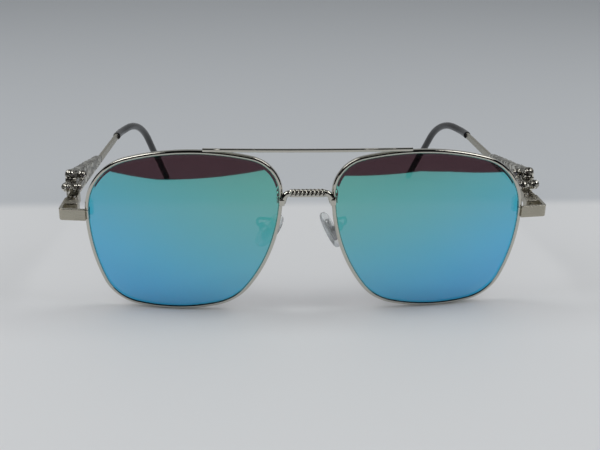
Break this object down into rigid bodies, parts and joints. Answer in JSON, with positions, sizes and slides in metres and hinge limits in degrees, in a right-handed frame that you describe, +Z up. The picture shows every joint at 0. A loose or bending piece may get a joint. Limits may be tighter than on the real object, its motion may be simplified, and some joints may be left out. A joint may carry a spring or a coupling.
{
  "type": "sunglasses",
  "caption": "Metal navigator sunglasses with a brow bar and a bridge, mirrored teal and blue lenses, folding temples with beaded ornaments and black tips.",
  "frame": {"origin": "centre of the footprint, on the surface that the glasses stand on, with the temples open", "axes": "+X to the right as seen from in front; +Y from the lenses back to the ears; +Z up"},
  "size_m": [0.1522, 0.1398, 0.0544],
  "materials": {
    "mirror_lens": "teal to blue mirror coat over a dark tint",
    "polished_wire": "polished",
    "satin_metal": "plated, satin",
    "screw_steel": "turned",
    "cast_metal": "cast pebble texture, polished high spots",
    "polished_beads": "mirror polished",
    "black_plastic": "gloss",
    "clear_silicone": "soft clear silicone",
    "pad_insert": "grey insert"
  },
  "bodies": {
    "front": {"bridge": "polished_wire", "brow_bar": "polished_wire", "closing_block_left": "satin_metal", "closing_block_right": "satin_metal", "closing_screw_left": "screw_steel", "closing_screw_right": "screw_steel", "end_piece_left": "satin_metal", "end_piece_right": "satin_metal", "hinge_leaf_front_left": "satin_metal", "hinge_leaf_front_right": "satin_metal", "hinge_screw_left": "screw_steel", "hinge_screw_right": "screw_steel", "lens_left": "mirror_lens", "lens_right": "mirror_lens", "pad_arm_left": "polished_wire", "pad_arm_right": "polished_wire", "pad_box_left": "polished_wire", "pad_box_right": "polished_wire", "pad_screw_left": "screw_steel", "pad_screw_right": "screw_steel", "rim_left": "polished_wire", "rim_right": "polished_wire"},
    "temple_right": {"hinge_leaf_temple_right": "satin_metal", "temple_bar_right": "satin_metal", "temple_beads_right": "polished_beads", "temple_sleeve_right": "cast_metal", "temple_tip_right": "black_plastic"},
    "temple_left": {"hinge_leaf_temple_left": "satin_metal", "temple_bar_left": "satin_metal", "temple_beads_left": "polished_beads", "temple_sleeve_left": "cast_metal", "temple_tip_left": "black_plastic"},
    "pad_right": {"nose_pad_right": "clear_silicone", "pad_core_right": "pad_insert"},
    "pad_left": {"nose_pad_left": "clear_silicone", "pad_core_left": "pad_insert"}
  },
  "joints": [
    {"name": "temple_fold_right", "type": "hinge", "parent": "front", "child": "temple_right", "pos_m": [0.072, -0.05216, 0.033], "axis": [0, 0, 1], "range_deg": [0, 77]},
    {"name": "temple_fold_left", "type": "hinge", "parent": "front", "child": "temple_left", "pos_m": [-0.072, -0.05216, 0.033], "axis": [0, 0, -1], "range_deg": [0, 84]},
    {"name": "pad_rock_right", "type": "hinge", "parent": "front", "child": "pad_right", "pos_m": [0.0103, -0.06116, 0.0273], "axis": [0.1383, 0.9879, 0.0705], "range_deg": [-8, 8]},
    {"name": "pad_rock_left", "type": "hinge", "parent": "front", "child": "pad_left", "pos_m": [-0.0132, -0.06116, 0.0273], "axis": [-0.3263, 0.9102, 0.255], "range_deg": [-8, 8]}
  ]
}
